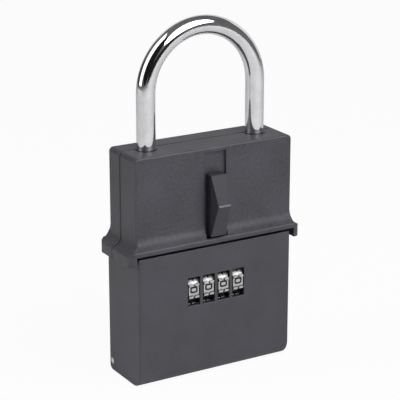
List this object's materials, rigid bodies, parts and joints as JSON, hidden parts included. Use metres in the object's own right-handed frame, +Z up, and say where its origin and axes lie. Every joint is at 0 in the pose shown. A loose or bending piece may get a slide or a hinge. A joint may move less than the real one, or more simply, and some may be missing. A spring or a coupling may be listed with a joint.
{
  "type": "combination key safe padlock",
  "caption": "Portable padlock-style key safe: chrome U shackle, dark moulded housing with thumb slide, and a tilting key box with number wheels.",
  "frame": {"origin": "middle of the flat base of the key box", "axes": "+Z up along the shackle legs, front with wheels and slide towards -Y, +X to the right of the front"},
  "size_m": [0.097, 0.0398, 0.1783],
  "materials": {
    "housing_plastic": "fine grain",
    "knob_plastic": "satin",
    "box_plastic": "satin",
    "chrome": "polished",
    "steel": "bright",
    "plated_steel": "zinc plated",
    "cast_zinc": "satin nickel",
    "bush_nylon": "plain",
    "pin_brass": "dull",
    "cam_brass": "plain"
  },
  "bodies": {
    "body": {"front_casing": "housing_plastic", "rear_casing": "housing_plastic", "casing_screws": "steel", "floor_plate": "plated_steel", "floor_screws": "steel", "hinge_pin": "pin_brass", "shackle_bush_heel": "bush_nylon", "shackle_bush_toe": "bush_nylon", "shackle_stop_pin": "steel", "bolt_guide": "plated_steel", "bolt_guide_screws": "steel"},
    "shackle": {"shackle": "chrome"},
    "slide": {"release_slider": "knob_plastic", "latch_slide": "plated_steel", "slider_screws": "steel"},
    "bolt": {"shackle_bolt": "plated_steel"},
    "box": {"key_box": "box_plastic", "dial_frame": "plated_steel", "dial_frame_screws": "steel", "spindle": "steel", "spindle_clips": "steel", "detent_comb": "steel"},
    "lock_bar": {"lock_bar": "plated_steel"},
    "lever": {"change_lever": "plated_steel"},
    "dial_1": {"dial_1": "cast_zinc", "gate_cam_1": "cam_brass"},
    "dial_2": {"dial_2": "cast_zinc", "gate_cam_2": "cam_brass"},
    "dial_3": {"dial_3": "cast_zinc", "gate_cam_3": "cam_brass"},
    "dial_4": {"dial_4": "cast_zinc", "gate_cam_4": "cam_brass"}
  },
  "joints": [
    {"name": "shackle_lift", "type": "slide", "parent": "body", "child": "shackle", "axis": [0, 0, 1], "range_m": [0, 0.02]},
    {"name": "release_slide", "type": "slide", "parent": "body", "child": "slide", "axis": [0, 0, 1], "range_m": [0, 0.009]},
    {"name": "bolt_slide", "type": "slide", "parent": "body", "child": "bolt", "axis": [1, 0, 0], "range_m": [0, 0.0045]},
    {"name": "box_tilt", "type": "hinge", "parent": "body", "child": "box", "pos_m": [0, 0.0132, 0.0052], "axis": [1, 0, 0], "range_deg": [0, 75]},
    {"name": "lock_bar_slide", "type": "slide", "parent": "box", "child": "lock_bar", "axis": [0, 0, 1], "range_m": [0, 0.009]},
    {"name": "lever_slide", "type": "slide", "parent": "box", "child": "lever", "axis": [1, 0, 0], "range_m": [0, 0.003]},
    {"name": "dial_1_turn", "type": "hinge", "parent": "box", "child": "dial_1", "pos_m": [0, -0.0068, 0.046], "axis": [1, 0, 0], "continuous": true},
    {"name": "dial_2_turn", "type": "hinge", "parent": "box", "child": "dial_2", "pos_m": [0, -0.0068, 0.046], "axis": [1, 0, 0], "continuous": true},
    {"name": "dial_3_turn", "type": "hinge", "parent": "box", "child": "dial_3", "pos_m": [0, -0.0068, 0.046], "axis": [1, 0, 0], "continuous": true},
    {"name": "dial_4_turn", "type": "hinge", "parent": "box", "child": "dial_4", "pos_m": [0, -0.0068, 0.046], "axis": [1, 0, 0], "continuous": true}
  ],
  "couplings": [
    {"joint": "bolt_slide", "follows": "release_slide", "ratio": 0.5},
    {"joint": "lock_bar_slide", "follows": "release_slide", "ratio": 1}
  ]
}
